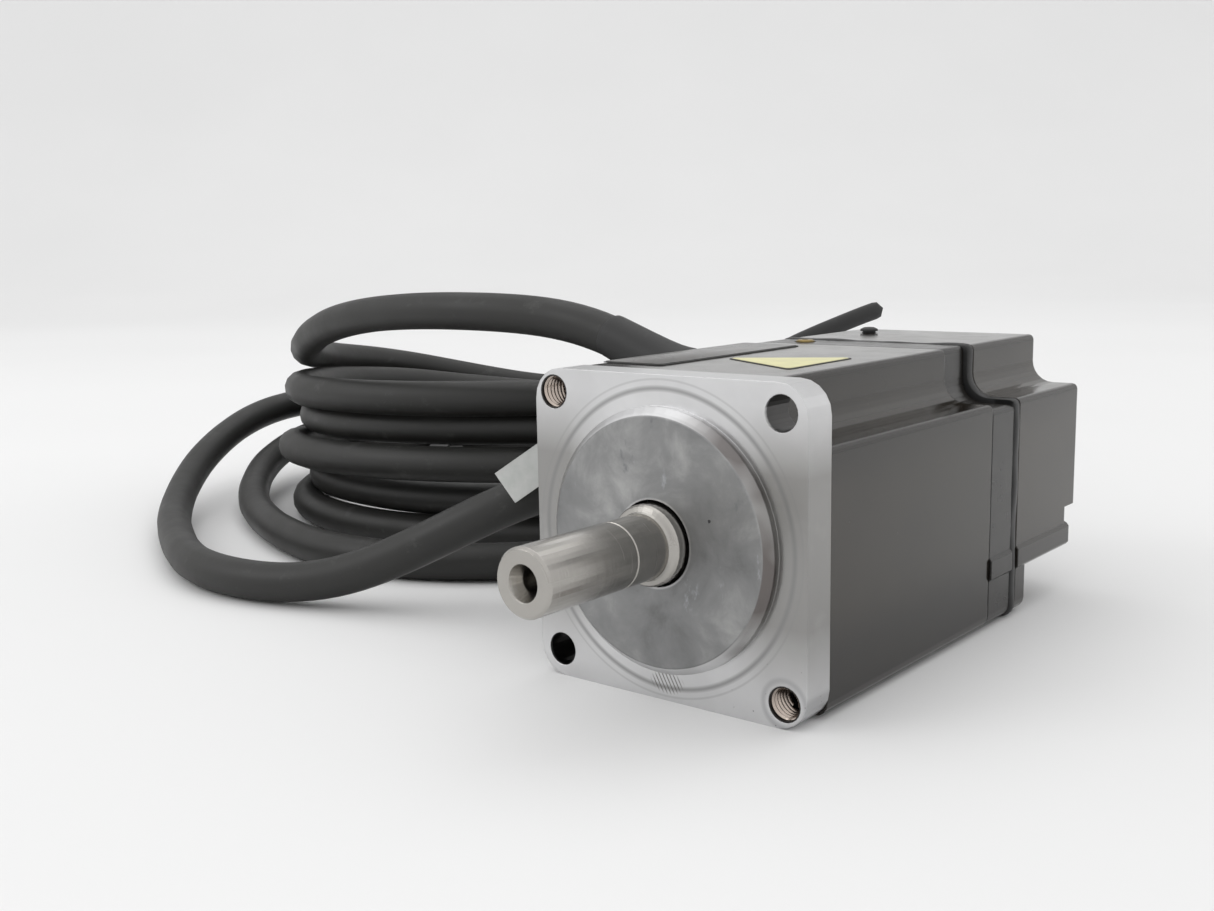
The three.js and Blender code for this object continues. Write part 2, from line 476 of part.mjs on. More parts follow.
// -------------------------------------------------------- marker on the cable
{
  // the flat marker stands on the upper side of the cable, facing forward
  const t = V(0.6407, 0.5237, 0.5615).normalize(), n0 = V(0.6264, -0.7626, 0.1611);
  const e = V().crossVectors(n0, t).normalize();
  const n = V().crossVectors(t, e).normalize();
  const frame = new THREE.Matrix4().makeBasis(t, e, n);
  const put = (g) => {
    g.translate(8, 0, 0);
    g.applyMatrix4(frame);
    g.translate(-57.4, 19.4, 0.6);
    return g;
  };
  const sleeve = cut(put(new THREE.BoxGeometry(16, 7.8, 2.4)), put(new THREE.BoxGeometry(18, 6.4, 1.2)));
  add('marker_sleeve', sleeve, 'clear');
  add('marker_card', put(new THREE.BoxGeometry(14.4, 5.8, 0.5)), 'card');
}

// ----------------------------------------------------------------- connectors
function connector(name, at, dir, w, h, len, ways) {
  // back boot, body and latch, drawn along +Y and turned into place
  const a = Math.atan2(dir[1], dir[0]) - Math.PI / 2;
  let m = solid(alongY(roundRect(w, h, 1), 5, len));
  m = join(m, rodY(6.6, 0, 6, 20), block(-3, 3, len * 0.45, len - 3, h / 2 - 0.2, h / 2 + 1.6));
  m = cut(m, rodY(5.05, -1, 4.6, 20));
  const [nx, nz] = ways;
  for (let i = 0; i < nx; i++) for (let k = 0; k < nz; k++) {
    const x = (i - (nx - 1) / 2) * (w / nx), z = (k - (nz - 1) / 2) * (h / nz);
    m = cut(m, block(x - w / nx / 2 + 0.8, x + w / nx / 2 - 0.8, len - 7, len + 1, z - h / nz / 2 + 0.8, z + h / nz / 2 - 0.8));
  }
  const g = surface(m);
  g.rotateZ(a);
  g.translate(...at);
  add(name, g, 'plastic');
}
connector('power_connector', [-108.4, 141.9, -22.2], [-0.2, -1, 0], 15, 15, 32, [2, 2]);
connector('encoder_connector', [-163.7, 96.7, -22.2], [-8.5, 10, 0], 15, 15, 34, [3, 3]);

model.updateMatrixWorld(true);
export default model;
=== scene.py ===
import math

import bmesh
import bpy
from mathutils import Matrix, Vector


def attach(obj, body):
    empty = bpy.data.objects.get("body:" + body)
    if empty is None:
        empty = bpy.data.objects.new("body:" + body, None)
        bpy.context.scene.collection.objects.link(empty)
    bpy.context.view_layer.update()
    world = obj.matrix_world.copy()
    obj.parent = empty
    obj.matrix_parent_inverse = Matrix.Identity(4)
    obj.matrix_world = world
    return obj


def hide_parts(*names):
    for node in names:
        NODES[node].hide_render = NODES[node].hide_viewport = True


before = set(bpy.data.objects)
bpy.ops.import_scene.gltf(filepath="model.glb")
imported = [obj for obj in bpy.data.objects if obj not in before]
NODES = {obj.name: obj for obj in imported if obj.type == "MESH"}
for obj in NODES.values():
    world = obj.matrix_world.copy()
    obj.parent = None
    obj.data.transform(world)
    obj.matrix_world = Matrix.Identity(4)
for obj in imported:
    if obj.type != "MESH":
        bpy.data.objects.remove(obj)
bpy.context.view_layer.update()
SCENE = bpy.context.scene

MM = 0.001
Y0 = -42.55      # drawing origin is on the flange face and shaft axis


def row(p):
    """drawing millimetres to the row frame in metres"""
    return Vector((p[0] * MM, (p[1] + Y0) * MM, (p[2] + 30) * MM))


# ------------------------------------------------------------------ camera
az, el, roll = (math.radians(a) for a in (39.404, 9.273, -1.071))
back = Vector((math.sin(az) * math.cos(el), -math.cos(az) * math.cos(el), math.sin(el)))
right = Vector((math.cos(az), math.sin(az), 0))
up = back.cross(right)
cr = math.cos(roll) * right + math.sin(roll) * up
cu = -math.sin(roll) * right + math.cos(roll) * up
cam_data = bpy.data.cameras.new("camera")
cam_data.sensor_width = 36
cam_data.lens = 36 * 1342.105 / 1214
cam_data.clip_start = 0.01
cam_data.clip_end = 20
cam = bpy.data.objects.new("camera", cam_data)
SCENE.collection.objects.link(cam)
m = Matrix((cr, cu, back)).transposed().to_4x4()
m.translation = Vector((0.142208, -0.231174, 0.084236))
cam.matrix_world = m
SCENE.camera = cam
SCENE.view_settings.view_transform = "Standard"
SCENE.view_settings.look = "None"


# ---------------------------------------------------------------- materials
class Mat:
    """a small builder for node materials"""

    def __init__(self, name, color, rough, metal=0.0, **sockets):
        self.m = bpy.data.materials.new(name)
        self.m.use_nodes = True
        self.t = self.m.node_tree
        self.bsdf = self.t.nodes["Principled BSDF"]
        self.bsdf.inputs["Base Color"].default_value = (*color, 1)
        self.bsdf.inputs["Roughness"].default_value = rough
        self.bsdf.inputs["Metallic"].default_value = metal
        for k, v in sockets.items():
            self.bsdf.inputs[k.replace("_", " ")].default_value = v
        self.co = self.node("ShaderNodeTexCoord").outputs["Object"]
        self.height = None
        self.normal = None

    def node(self, kind, **props):
        n = self.t.nodes.new(kind)
        for k, v in props.items():
            setattr(n, k, v)
        return n

    def link(self, a, b):
        self.t.links.new(a, b)
        return a

    def mapping(self, scale=(1, 1, 1), loc=(0, 0, 0), rot=(0, 0, 0)):
        n = self.node("ShaderNodeMapping")
        n.inputs["Scale"].default_value = scale
        n.inputs["Location"].default_value = loc
        n.inputs["Rotation"].default_value = rot
        self.link(self.co, n.inputs["Vector"])
        return n.outputs["Vector"]

    def noise(self, scale, detail=3, rough=0.5, vec=None, dist=0.0):
        n = self.node("ShaderNodeTexNoise")
        n.inputs["Scale"].default_value = scale
        n.inputs["Detail"].default_value = detail
        n.inputs["Roughness"].default_value = rough
        n.inputs["Distortion"].default_value = dist
        self.link(vec or self.co, n.inputs["Vector"])
        return n.outputs["Fac"]

    def math(self, op, a, b=None, clamp=False):
        n = self.node("ShaderNodeMath", operation=op, use_clamp=clamp)
        for i, v in enumerate((a, b)):
            if v is None:
                continue
            if isinstance(v, (int, float)):
                n.inputs[i].default_value = v
            else:
                self.link(v, n.inputs[i])
        return n.outputs[0]

    def ramp(self, fac, stops):
        n = self.node("ShaderNodeValToRGB")
        e = n.color_ramp.elements
        while len(e) < len(stops):
            e.new(0.5)
        for k, (pos, c) in zip(e, stops):
            k.position = pos
            k.color = (*c, 1) if len(c) == 3 else c
        self.link(fac, n.inputs["Fac"])
        return n.outputs["Color"]

    def level(self, fac, a, b, lo=0.0, hi=1.0):
        n = self.node("ShaderNodeMapRange")
        for k, v in zip(("From Min", "From Max", "To Min", "To Max"), (a, b, lo, hi)):
            n.inputs[k].default_value = v
        self.link(fac, n.inputs["Value"])
        return n.outputs["Result"]

    def mix(self, fac, a, b):
        n = self.node("ShaderNodeMix", data_type="RGBA")
        for s, v in ((n.inputs[0], fac), (n.inputs[6], a), (n.inputs[7], b)):
            if isinstance(v, (int, float)):
                s.default_value = v
            elif isinstance(v, tuple):
                s.default_value = (*v, 1)
            else:
                self.link(v, s)
        return n.outputs[2]

    def color(self, out):
        self.link(out, self.bsdf.inputs["Base Color"])

    def rough(self, out):
        self.link(out, self.bsdf.inputs["Roughness"])

    def bump(self, height, strength, dist):
        n = self.node("ShaderNodeBump")
        n.inputs["Strength"].default_value = strength
        n.inputs["Distance"].default_value = dist
        self.link(height, n.inputs["Height"])
        if self.normal is not None:
            self.link(self.normal, n.inputs["Normal"])
        self.normal = n.outputs["Normal"]
        self.link(self.normal, self.bsdf.inputs["Normal"])

    def soft_edges(self, radius):
        n = self.node("ShaderNodeBevel", samples=4)
        n.inputs["Radius"].default_value = radius
        self.normal = n.outputs["Normal"]
        self.link(self.normal, self.bsdf.inputs["Normal"])

    def radius(self, cx=0.0, cz=0.03):
        """distance from the shaft axis, in metres"""
        s = self.node("ShaderNodeSeparateXYZ")
        self.link(self.co, s.inputs[0])
        dx = self.math("SUBTRACT", s.outputs[0], cx)
        dz = self.math("SUBTRACT", s.outputs[2], cz)
        return self.math("SQRT", self.math("ADD", self.math("MULTIPLY", dx, dx), self.math("MULTIPLY", dz, dz))), s


def between(m, v, a, b, soft):
    """1 where v lies between a and b, with soft edges"""
    return m.math("MULTIPLY", m.level(v, a - soft, a + soft), m.level(v, b - soft, b + soft, 1, 0))


def aluminium():
    """milled flange, turned pilot rim and rough cast pilot face"""
    m = Mat("cast_and_machined_aluminium", (0.62, 0.62, 0.63), 0.34, 1.0)
    m.soft_edges(0.00025)
    r, s = m.radius()
    x, y, z = s.outputs
    on_front = m.level(y, -0.0435, -0.0424, 1, 0)                       # pilot and its face
    cast = m.math("MULTIPLY", m.level(r, 0.02305, 0.0229), m.level(y, -0.0454, -0.0453, 1, 0))
    inside = m.level(r, 0.0078, 0.0084)
    cast = m.math("MULTIPLY", cast, inside)
    patches = m.noise(95, 6, 0.62, dist=0.4)
    big = m.noise(38, 3, 0.5, m.mapping(loc=(0.13, 0, 0.31)))
    grain = m.noise(1500, 2)
    face = m.ramp(m.math("ADD", m.math("MULTIPLY", patches, 0.5), m.math("MULTIPLY", big, 0.5)),
                  [(0.36, (0.15, 0.15, 0.148)), (0.47, (0.235, 0.237, 0.238)), (0.56, (0.28, 0.282, 0.282)), (0.68, (0.42, 0.42, 0.415))])
    pits = m.level(m.noise(620, 1, 0.3, m.mapping(loc=(1.7, 0.2, 0.9))), 0.80, 0.82)
    face = m.mix(pits, face, (0.07, 0.07, 0.072))
    worn = m.level(m.noise(130, 6, 0.7, m.mapping((1, 1, 0.5), rot=(0, 0.5, 0))), 0.62, 0.72)
    face = m.mix(m.math("MULTIPLY", worn, 0.45), face, (0.60, 0.62, 0.65))
    dark = m.level(m.noise(110, 5, 0.7, m.mapping((1, 1, 0.6), loc=(0.5, 0.3, 0.1), rot=(0, 0.7, 0))), 0.63, 0.70)
    face = m.mix(m.math("MULTIPLY", dark, 0.55), face, (0.13, 0.135, 0.15))
    soft = m.noise(55, 4, 0.6, m.mapping(loc=(0.21, 0.5, 0.13)))
    bright = m.mix(m.level(soft, 0.3, 0.7), (0.62, 0.62, 0.625), (0.71, 0.71, 0.715))
    ax = m.math("ABSOLUTE", x)
    # painted shade: the flange is darkened on its left and right sides between given heights, standing in for light
    # falling off there
    painted_side_shade = m.math("MULTIPLY", m.level(ax, 0.011, 0.022), m.math("MULTIPLY", m.level(z, 0.004, 0.018), m.level(z, 0.044, 0.056, 1, 0)))
    bright = m.mix(m.math("MULTIPLY", painted_side_shade, 0.85), bright, (0.25, 0.245, 0.235))
    stain = m.level(m.noise(48, 4, 0.6, m.mapping(loc=(0.4, 0.1, 0.2))), 0.56, 0.78)
    bright = m.mix(m.math("MULTIPLY", stain, 0.30), bright, (0.58, 0.575, 0.57))
    # ring left by the facing tool, and painted shade: a dark band on the right side of the pilot rim
    tool = between(m, r, 0.02710, 0.02790, 0.0003)
    bright = m.mix(m.math("MULTIPLY", tool, 0.7), bright, (0.24, 0.24, 0.24))
    tool2 = between(m, r, 0.02905, 0.02925, 0.0002)
    bright = m.mix(m.math("MULTIPLY", tool2, 0.5), bright, (0.28, 0.28, 0.28))
    # painted shade: a dark band on the right side of the pilot rim, broken up by noise
    painted_rim_shade_ring = between(m, r, 0.0228, 0.0246, 0.0002)
    side = m.level(m.noise(60, 2, 0.5, m.mapping(loc=(0.2, 0.4, 0.6))), 0.48, 0.60)
    painted_rim_shade = m.math("MULTIPLY", m.math("MULTIPLY", painted_rim_shade_ring, side), m.math("MULTIPLY", on_front, m.level(x, 0.004, 0.014)))
    bright = m.mix(m.math("MULTIPLY", painted_rim_shade, 0.85), bright, (0.13, 0.115, 0.11))
    # chatter marks low on the flange
    cx = m.math("SUBTRACT", x, 0.0005)
    cz = m.math("SUBTRACT", z, 0.0035)
    spot = m.math("SQRT", m.math("ADD", m.math("MULTIPLY", cx, cx), m.math("MULTIPLY", m.math("MULTIPLY", cz, cz), 3.0)))
    w = m.node("ShaderNodeTexWave")
    w.inputs["Scale"].default_value = 420
    m.link(m.mapping(rot=(0, 0.5, 0)), w.inputs["Vector"])
    chat = m.math("MULTIPLY", m.level(spot, 0.0028, 0.0040, 1, 0), m.level(w.outputs["Fac"], 0.68, 0.8))
    bright = m.mix(m.math("MULTIPLY", chat, 0.8), bright, (0.16, 0.15, 0.14))
    # dark spots near the threaded hole and a few fine scratches
    hx = m.math("SUBTRACT", x, 0.0255)
    hz = m.math("SUBTRACT", z, 0.0045)
    hr = m.math("SQRT", m.math("ADD", m.math("MULTIPLY", hx, hx), m.math("MULTIPLY", hz, hz)))
    halo = between(m, hr, 0.0038, 0.0047, 0.0003)
    bright = m.mix(m.math("MULTIPLY", halo, 0.4), bright, (0.30, 0.30, 0.31))
    # clearance hole bores, painted dark as shade inside the holes
    az = m.math("ABSOLUTE", m.math("SUBTRACT", z, 0.030))
    bx = m.math("SUBTRACT", ax, 0.02475)
    bz = m.math("SUBTRACT", az, 0.02475)
    br = m.math("SQRT", m.math("ADD", m.math("MULTIPLY", bx, bx), m.math("MULTIPLY", bz, bz)))
    bore = m.math("MULTIPLY", m.level(br, 0.00330, 0.00345, 1, 0), m.level(y, -0.0424, -0.0418))
    bright = m.mix(m.math("MULTIPLY", bore, 0.93), bright, (0.035, 0.033, 0.032))
    specks = m.math("MULTIPLY", m.level(m.noise(1300, 1, 0.3, m.mapping(loc=(0.7, 0.9, 0.3))), 0.77, 0.80), m.level(hr, 0.006, 0.013, 0.6, 0))
    bright = m.mix(specks, bright, (0.10, 0.10, 0.10))
    m.color(m.mix(cast, bright, face))
    m.rough(m.level(cast, 0, 1, 0.30, 0.50))
    h = m.math("ADD", m.math("MULTIPLY", m.noise(420, 4, 0.65), 1.0), m.math("MULTIPLY", grain, 0.4))
    h = m.math("MULTIPLY", h, m.level(cast, 0, 1, 0.10, 1.0))
    rings = m.node("ShaderNodeMath", operation="SINE")
    m.link(m.math("MULTIPLY", r, 26000), rings.inputs[0])
    turned = m.math("MULTIPLY", rings.outputs[0], m.math("SUBTRACT", 1.0, cast))
    m.bump(m.math("ADD", h, m.math("MULTIPLY", turned, 0.05)), 0.35, 0.00012)
    return m.m


def turned_steel(name, color, rough=0.24, lines=9000.0, axis=1):
    m = Mat(name, color, rough, 1.0)
    m.soft_edges(0.0002)
    sc = [60.0, 60.0, 60.0]
    sc[axis] = lines
    n = m.noise(1.0, 3, 0.6, m.mapping(tuple(sc)))
    blot = m.noise(90, 4, 0.6)
    c = m.mix(m.level(n, 0.3, 0.7), tuple(v * 0.95 for v in color), tuple(min(1, v * 1.04) for v in color))
    c = m.mix(m.level(blot, 0.58, 0.78, 0, 0.25), c, tuple(v * 0.7 for v in color))
    m.color(c)
    m.rough(m.level(n, 0.2, 0.8, rough - 0.06, rough + 0.10))
    m.bump(n, 0.12, 0.00003)
    return m.m


def paint(name, color, rough, scratch=0.5):
    """thick glossy dark enamel with orange peel, dust and hairline scratches, with painted shade darkening the corner
    notches
    """
    m = Mat(name, color, rough, 0.0, IOR=1.52)
    m.soft_edges(0.0005)
    n = m.noise(55, 4, 0.6)
    c = m.mix(m.level(n, 0.35, 0.7), tuple(v * 0.86 for v in color), tuple(v * 1.15 for v in color))
    r, s = m.radius()
    # painted shade: surfaces far from the shaft axis, where the corner notches lie, are darkened
    painted_notch_shade = m.level(r, 0.0310, 0.0345, 0, 0.75)
    c = m.mix(painted_notch_shade, c, (0.006, 0.0045, 0.0035))
    dust = m.level(m.noise(1500, 2, 0.4, m.mapping(loc=(0.3, 0.3, 0.3))), 0.72, 0.78)
    c = m.mix(m.math("MULTIPLY", dust, 0.14), c, (0.26, 0.25, 0.23))
    line = m.level(m.noise(26, 3, 0.6, m.mapping((40, 1, 30), rot=(0.3, 0.1, 0.2))), 0.745, 0.755)
    c = m.mix(m.math("MULTIPLY", line, scratch * 0.25), c, (0.25, 0.24, 0.22))
    m.color(c)
    m.rough(m.level(m.noise(130, 3, 0.6), 0.3, 0.7, rough - 0.03, rough + 0.05))
    m.bump(m.noise(700, 2, 0.5), 0.10, 0.00004)
    return m.m


def rubber(name, color, rough=0.62, scale=900.0, wear=0.2, light=(0.16, 0.16, 0.155)):
    m = Mat(name, color, rough, 0.0)
    n = m.noise(46, 4, 0.65)
    c = m.mix(m.level(n, 0.35, 0.7), tuple(v * 0.8 for v in color), tuple(v * 1.25 for v in color))
    fine = m.noise(scale, 3, 0.6)
    scuff = m.level(m.noise(160, 5, 0.7, m.mapping((1, 0.35, 1.4))), 0.60, 0.74)
    c = m.mix(m.math("MULTIPLY", scuff, wear), c, light)
    m.color(c)
    m.rough(m.level(n, 0.3, 0.7, rough - 0.08, rough + 0.08))
    m.bump(m.math("ADD", fine, m.math("MULTIPLY", m.noise(240, 2), 1.5)), 0.22, 0.00008)
    return m.m


def plain(name, color, rough, metal=0.0, scale=500.0, amount=0.15, bump=0.15, **k):
    m = Mat(name, color, rough, metal, **k)
    n = m.noise(scale, 3, 0.6)
    m.color(m.mix(m.level(n, 0.3, 0.7), tuple(v * (1 - amount) for v in color), tuple(min(1, v * (1 + amount)) for v in color)))
    m.rough(m.level(n, 0.3, 0.7, max(0.02, rough - 0.05), min(1, rough + 0.05)))
    m.bump(n, bump, 0.00005)
    return m.m


def laminations():
    m = Mat("stacked_laminations", (0.30, 0.30, 0.32), 0.45, 0.8)
    w = m.node("ShaderNodeTexWave")
    w.bands_direction = "Y"
    w.inputs["Scale"].default_value = 320
    m.link(m.co, w.inputs["Vector"])
    m.color(m.mix(w.outputs["Fac"], (0.16, 0.16, 0.18), (0.36, 0.36, 0.38)))
    m.bump(w.outputs["Fac"], 0.3, 0.0001)
    return m.m


def winding():
    m = Mat("resin_set_winding", (0.45, 0.19, 0.07), 0.28, 0.5)
    w = m.node("ShaderNodeTexWave")
    w.inputs["Scale"].default_value = 190
    w.inputs["Distortion"].default_value = 3
    m.link(m.co, w.inputs["Vector"])
    m.color(m.mix(w.outputs["Fac"], (0.22, 0.08, 0.03), (0.62, 0.28, 0.10)))
    m.bump(w.outputs["Fac"], 0.5, 0.0002)
    return m.m


LOOK = {
    "alu": aluminium(),
    "shaft": turned_steel("turned_shaft_steel", (0.42, 0.405, 0.38), 0.20),
    "steel": turned_steel("bearing_steel", (0.55, 0.54, 0.52), 0.22),
    "zinc": plain("plated_screw_steel", (0.50, 0.49, 0.46), 0.32, 1.0),
    "insert": plain("thread_insert_steel", (0.50, 0.43, 0.38), 0.20, 1.0),
    # painted shade: a near-black colour for the inside wall of the threaded holes
    "bore": plain("dark_insert_bore", (0.03, 0.027, 0.025), 0.4, 0.6),
    "body": paint("bronze_black_enamel", (0.022, 0.018, 0.013), 0.12),
    "bracket": paint("dark_bracket_enamel", (0.012, 0.0105, 0.009), 0.24),
    "cover": paint("bronze_cover_enamel", (0.030, 0.025, 0.019), 0.13),
    "rubber": rubber("black_gasket_rubber", (0.006, 0.006, 0.006), 0.42, wear=0.05),
    "boot": rubber("black_boot_rubber", (0.014, 0.014, 0.014), 0.55, wear=0.12),
    "cable": rubber("cable_jacket_rubber", (0.014, 0.0138, 0.0125), 0.52, 1500.0, wear=0.16),
    "strap": rubber("strap_rubber", (0.020, 0.020, 0.020), 0.5, wear=0.1),
    "plastic": plain("moulded_black_plastic", (0.018, 0.018, 0.018), 0.42, scale=1600),
    "brass": plain("turned_brass", (0.26, 0.19, 0.075), 0.34, 1.0),
    "copper": winding(),
    "lam": laminations(),
    "magnet": plain("ground_magnet", (0.22, 0.22, 0.24), 0.35, 0.8),
    "board": plain("green_board", (0.02, 0.13, 0.05), 0.40, scale=300),
    "white": plain("white_card", (0.80, 0.80, 0.78), 0.55, scale=300, amount=0.04),
    "plate": plain("dark_nameplate", (0.045, 0.042, 0.038), 0.30, scale=200, Coat_Weight=0.3, Coat_Roughness=0.1),
    "yellow": plain("yellow_film", (0.68, 0.65, 0.36), 0.40, scale=260, amount=0.08),
    "edge": plain("dark_film_edge", (0.02, 0.02, 0.02), 0.40),
    "glass": plain("etched_disc", (0.55, 0.62, 0.63), 0.10, scale=800, amount=0.08, Transmission_Weight=0.5),
}


def clear_film():
    m = Mat("clear_marker_film", (0.86, 0.87, 0.85), 0.12, 0.0, Transmission_Weight=0.45, IOR=1.45)
    n = m.noise(300, 3, 0.6)
    m.color(m.mix(m.level(n, 0.3, 0.7), (0.80, 0.82, 0.80), (0.93, 0.94, 0.92)))
    m.bump(n, 0.3, 0.0001)
    return m.m


LOOK["clear"] = clear_film()


def wear(obj, look):
    obj.data.materials.clear()
    obj.data.materials.append(LOOK[look])


def smooth(obj, angle=32):
    """smooth shading on the small facets, with the real edges left sharp"""
    me = obj.data
    if hasattr(me, "shade_smooth"):
        me.shade_smooth()
        me.set_sharp_from_angle(angle=math.radians(angle))


# -------------------------------------------------------------------- cords
C = (-146.0, 137.0)   # centre of the coil


def on_coil(bearing, r, z):
    t = math.radians(bearing)
    return (C[0] + r * math.cos(t), C[1] + r * math.sin(t), z)


def spline_through(points, step=3.0):
    """centripetal Catmull-Rom through the points, resampled evenly"""
    p = [Vector(q) for q in points]
    p = [2 * p[0] - p[1]] + p + [2 * p[-1] - p[-2]]
    out = []
    for i in range(1, len(p) - 2):
        a, b, c, d = p[i - 1], p[i], p[i + 1], p[i + 2]
        t0 = 0.0
        t1 = t0 + max(1e-6, (b - a).length) ** 0.5
        t2 = t1 + max(1e-6, (c - b).length) ** 0.5
        t3 = t2 + max(1e-6, (d - c).length) ** 0.5
        n = max(2, int((c - b).length / 1.0))
        for k in range(n):
            t = t1 + (t2 - t1) * k / n
            q1 = a * ((t1 - t) / (t1 - t0)) + b * ((t - t0) / (t1 - t0))
            q2 = b * ((t2 - t) / (t2 - t1)) + c * ((t - t1) / (t2 - t1))
            q3 = c * ((t3 - t) / (t3 - t2)) + d * ((t - t2) / (t3 - t2))
            r1 = q1 * ((t2 - t) / (t2 - t0)) + q2 * ((t - t0) / (t2 - t0))
            r2 = q2 * ((t3 - t) / (t3 - t1)) + q3 * ((t - t1) / (t3 - t1))
            out.append(r1 * ((t2 - t) / (t2 - t1)) + r2 * ((t - t1) / (t2 - t1)))
    out.append(p[-2].copy())
    # even spacing
    even, acc = [out[0]], 0.0
    for a, b in zip(out, out[1:]):
        acc += (b - a).length
        if acc >= step:
            even.append(b)
            acc = 0.0
    if (even[-1] - out[-1]).length < step * 0.5:
        even.pop()
    even.append(out[-1])
    # relax small kinks
    for _ in range(6):
        even = [even[0]] + [(even[i - 1] + 2 * even[i] + even[i + 1]) / 4 for i in range(1, len(even) - 1)] + [even[-1]]
    return even


def cord_curve(name, points, radius, look):
    pts = spline_through(points)
    cu_ = bpy.data.curves.new(name, "CURVE")
    cu_.dimensions = "3D"
    cu_.bevel_depth = radius * MM
    cu_.bevel_resolution = 5
    cu_.use_fill_caps = True
    s = cu_.splines.new("POLY")
    s.points.add(len(pts) - 1)
    for k, q in zip(s.points, pts):
        k.co = (*row(q), 1)
    s.use_smooth = True
    o = bpy.data.objects.new(name, cu_)
    SCENE.collection.objects.link(o)
    cu_.materials.append(LOOK[look])
    length = sum((b - a).length for a, b in zip(pts, pts[1:])) * MM
    return o, length


B, F, L, R = 129.4, -50.6, -140.6, 39.4      # rear, front, image left, right bearings
POWER = [
    (-36.5, 52, 24.87), (-44, 52, 27.9), (-51.95, 52, 31.1), (-63, 51.6, 34.2), (-76, 50.5, 35.9), (-92, 49, 36.5),
    (-110, 48.3, 36.4), (-128, 49.6, 35.4), (-147, 53, 33.2), (-165, 58.5, 29.8), (-182, 66.8, 25.4), (-198, 77.5, 21.6),
    (-212.5, 90, 18.6), (-224, 104, 16.2), (-232, 120, 13.8), on_coil(180, 89.5, 11.4),
    on_coil(167, 91.5, 7.6), on_coil(153, 90, 2.4), on_coil(140, 87, -1.8), on_coil(B, 85.4, -3.8), on_coil(105, 85, -4.2), on_coil(75, 85, -2.2),
    on_coil(R, 85.4, 3), on_coil(0, 85.7, 9.5), on_coil(-25, 85.7, 12.2), on_coil(F, 85.5, 12.8), on_coil(-80, 84.8, 12.2),
    on_coil(-110, 83, 11), on_coil(L, 80.6, 9), on_coil(-163, 80, 6.6), on_coil(-185, 80, 3.4), on_coil(-205, 78, -1), on_coil(B - 360, 75.6, -5),
    on_coil(100 - 360, 75.3, -5.6), on_coil(70 - 360, 75.6, -5), on_coil(R - 360, 77.5, -2.5), on_coil(0 - 360, 79.5, 1.6), on_coil(-25 - 360, 80.4, 3.8),
    on_coil(F - 360, 80.5, 4.4), on_coil(-85 - 360, 79, 3.4), on_coil(-115 - 360, 77.6, 1.8), on_coil(L - 360, 77.4, 0), on_coil(-163 - 360, 80.4, -2.6),
    on_coil(-185 - 360, 81, -7), on_coil(-205 - 360, 82, -12), on_coil(B - 720, 85, -15.2), on_coil(100 - 720, 85.2, -15.7), on_coil(70 - 720, 85.2, -15.6),
    on_coil(R - 720, 85.8, -14.2), on_coil(10 - 720, 87, -10.4), on_coil(-20 - 720, 87.6, -6.2), on_coil(F - 720, 87.6, -4.6), on_coil(-75 - 720, 87.6, -4.8), on_coil(-100 - 720, 86.6, -5.8),
    on_coil(-122 - 720, 84.6, -7), on_coil(L - 720, 80, -9.4), on_coil(-160 - 720, 73.6, -9), on_coil(-183 - 720, 67, -9.6), on_coil(-200 - 720, 64.8, -10.2),
    (-201.9, 169.3, -11), (-185.9, 184.5, -13.5), (-164.4, 193.6, -17), (-142, 192.9, -20), (-123.6, 182.8, -22), (-111.8, 167.8, -22.4),
    (-107.5, 151, -22.4), (-108.2, 142.3, -22.4), (-108.8, 139, -22.2)]
